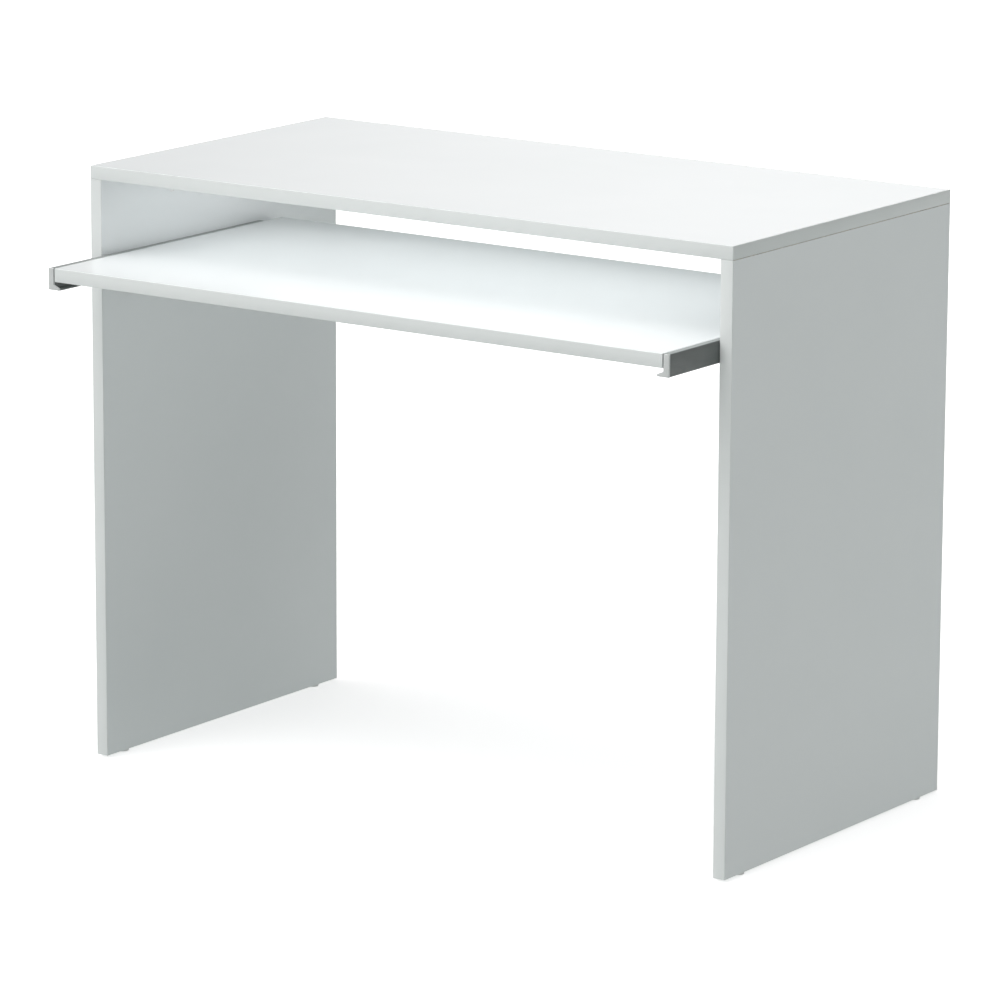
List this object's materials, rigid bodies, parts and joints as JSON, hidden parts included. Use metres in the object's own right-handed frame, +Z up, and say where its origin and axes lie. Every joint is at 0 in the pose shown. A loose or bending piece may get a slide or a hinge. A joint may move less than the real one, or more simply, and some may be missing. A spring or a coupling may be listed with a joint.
{
  "type": "computer desk with keyboard tray",
  "caption": "White panel-sided computer desk with a keyboard tray that pulls out on steel roller runners under the top.",
  "frame": {"origin": "on the floor, under the middle of the outline with the tray pulled out as at rest", "axes": "+X across the desk to the user's right, +Y from the front to the rear, +Z up"},
  "size_m": [0.9, 0.5584, 0.72],
  "materials": {
    "laminate": "gloss white melamine over chipboard",
    "edging": "satin-gloss ABS strip",
    "runner_steel": "grey coated steel",
    "cap_plastic": "light grey moulded nylon",
    "roller_nylon": "moulded nylon",
    "rivet_steel": "zinc plated",
    "screw_steel": "zinc plated",
    "cam_zinc": "die-cast zinc",
    "bolt_steel": "zinc plated",
    "cover_plastic": "white moulded cap",
    "beech": "fluted beech",
    "glide_plastic": "hard polyethylene"
  },
  "bodies": {
    "desk": {"desktop": "laminate", "desktop_edging": "edging", "left_side": "laminate", "right_side": "laminate", "left_side_edging": "edging", "right_side_edging": "edging", "rear_rail": "laminate", "rear_rail_edging": "edging", "left_cabinet_runner": "runner_steel", "right_cabinet_runner": "runner_steel", "left_front_rivet": "rivet_steel", "right_front_rivet": "rivet_steel", "cabinet_runner_screws": "screw_steel", "cam_housings": "cam_zinc", "cam_bolts": "bolt_steel", "cam_caps": "cover_plastic", "dowels": "beech", "floor_glides": "glide_plastic"},
    "tray": {"keyboard_tray": "laminate", "tray_edging": "edging", "left_tray_runner": "runner_steel", "right_tray_runner": "runner_steel", "left_runner_cap": "cap_plastic", "right_runner_cap": "cap_plastic", "left_rear_rivet": "rivet_steel", "right_rear_rivet": "rivet_steel", "tray_runner_screws": "screw_steel"},
    "left_front_roller": {"left_front_roller": "roller_nylon"},
    "right_front_roller": {"right_front_roller": "roller_nylon"},
    "left_rear_roller": {"left_rear_roller": "roller_nylon"},
    "right_rear_roller": {"right_rear_roller": "roller_nylon"}
  },
  "joints": [
    {"name": "tray_slide", "type": "slide", "parent": "desk", "child": "tray", "axis": [0, -1, 0], "range_m": [-0.0985, 0.2015]},
    {"name": "left_front_roller_spin", "type": "hinge", "parent": "desk", "child": "left_front_roller", "pos_m": [-0.42823, -0.13975, 0.5806], "axis": [1, 0, 0], "continuous": true},
    {"name": "left_rear_roller_spin", "type": "hinge", "parent": "tray", "child": "left_rear_roller", "pos_m": [-0.42823, 0.10775, 0.5778], "axis": [1, 0, 0], "continuous": true},
    {"name": "right_front_roller_spin", "type": "hinge", "parent": "desk", "child": "right_front_roller", "pos_m": [0.42823, -0.13975, 0.5806], "axis": [1, 0, 0], "continuous": true},
    {"name": "right_rear_roller_spin", "type": "hinge", "parent": "tray", "child": "right_rear_roller", "pos_m": [0.42823, 0.10775, 0.5778], "axis": [1, 0, 0], "continuous": true}
  ],
  "couplings": [
    {"joint": "left_front_roller_spin", "follows": "tray_slide", "rad_per_m": 133.33},
    {"joint": "left_rear_roller_spin", "follows": "tray_slide", "rad_per_m": 133.33},
    {"joint": "right_front_roller_spin", "follows": "tray_slide", "rad_per_m": 133.33},
    {"joint": "right_rear_roller_spin", "follows": "tray_slide", "rad_per_m": 133.33}
  ]
}
